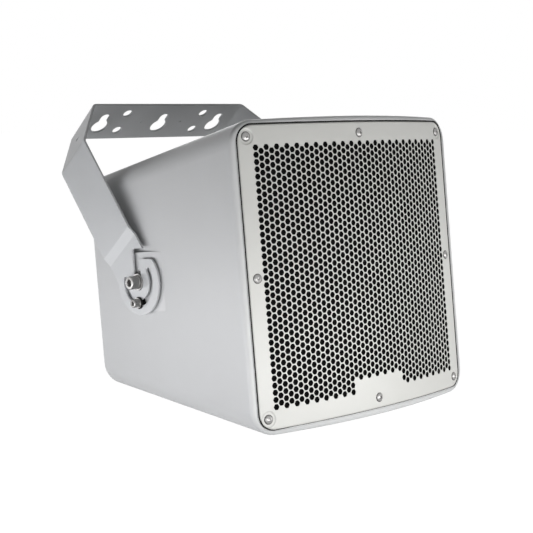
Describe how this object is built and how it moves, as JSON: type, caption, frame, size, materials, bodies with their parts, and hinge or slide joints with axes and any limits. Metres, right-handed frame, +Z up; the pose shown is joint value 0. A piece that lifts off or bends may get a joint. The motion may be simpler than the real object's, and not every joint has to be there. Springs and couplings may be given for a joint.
{
  "type": "outdoor patio speaker",
  "caption": "Outdoor loudspeaker: tapered moulded cabinet with a bowed hexagon-perforated grille, tilting in a U-shaped bracket with a drilled keyhole plate.",
  "frame": {"origin": "middle of the cabinet's flat underside", "axes": "+Z up with the cabinet standing on its underside, -Y towards the front that the grille faces, +X to the right seen from the front"},
  "size_m": [0.3664, 0.4423, 0.3667],
  "materials": {
    "cabinet_paint": "satin paint on moulded fibreglass",
    "baffle": "black-painted plywood",
    "zinc_screws": "zinc plated",
    "grille_paint": "satin powder coat",
    "black_rubber": "matt",
    "black_mesh": "fine woven mesh",
    "stainless": "stainless",
    "cast_alloy": "black-painted casting",
    "roll_rubber": "semi-matt",
    "cone": "coated cone",
    "spider_cloth": "resin-treated cloth",
    "copper_coil": "enamelled copper",
    "zinc_plate": "zinc plated",
    "ferrite": "ground ferrite",
    "horn_plastic": "moulded",
    "driver_case": "black",
    "circuit_board": "solder mask",
    "nylon": "natural nylon",
    "nylon_black": "black nylon",
    "capacitor_case": "dipped film",
    "resistor_case": "cement",
    "laminations": "varnished steel laminations",
    "winding_tape": "tape over windings",
    "damping_felt": "polyester wadding",
    "gland_plastic": "moulded nylon",
    "bracket_paint": "satin powder coat",
    "brass_inserts": "turned brass"
  },
  "bodies": {
    "cabinet": {"cabinet_shell": "cabinet_paint", "baffle_board": "baffle", "baffle_screws": "zinc_screws", "front_grille": "grille_paint", "grille_gasket": "black_rubber", "weather_mesh": "black_mesh", "grille_screws": "stainless", "woofer_basket": "cast_alloy", "woofer_screws": "zinc_screws", "woofer_surround": "roll_rubber", "woofer_cone": "cone", "woofer_ring_gasket": "black_rubber", "woofer_spider": "spider_cloth", "voice_coil": "copper_coil", "magnet_top_plate": "zinc_plate", "magnet_ring": "ferrite", "magnet_back_plate": "zinc_plate", "high_frequency_horn": "horn_plastic", "high_frequency_driver": "driver_case", "filter_board": "circuit_board", "filter_standoffs": "nylon", "filter_coils": "copper_coil", "filter_capacitors": "capacitor_case", "filter_resistors": "resistor_case", "transformer_core": "laminations", "transformer_winding": "winding_tape", "transformer_strap": "zinc_plate", "damping_pads": "damping_felt", "rear_cover_gasket": "black_rubber", "rear_cover": "stainless", "rear_cover_screws": "stainless", "terminal_block": "nylon", "cable_gland": "gland_plastic", "pivot_inserts": "brass_inserts", "lock_inserts": "brass_inserts", "pivot_sleeves": "nylon_black", "pad_spacers": "nylon_black", "pivot_washers": "stainless", "pivot_spring_washers": "stainless", "pivot_bolts": "stainless", "rubber_washers": "black_rubber", "lock_washers": "stainless", "lock_spring_washers": "stainless", "lock_bolts": "stainless"},
    "bracket": {"u_bracket": "bracket_paint"}
  },
  "joints": [
    {"name": "bracket_tilt", "type": "hinge", "parent": "cabinet", "child": "bracket", "pos_m": [0, 0.06118, 0.15012], "axis": [1, 0, 0], "range_deg": [-95, 45]}
  ]
}
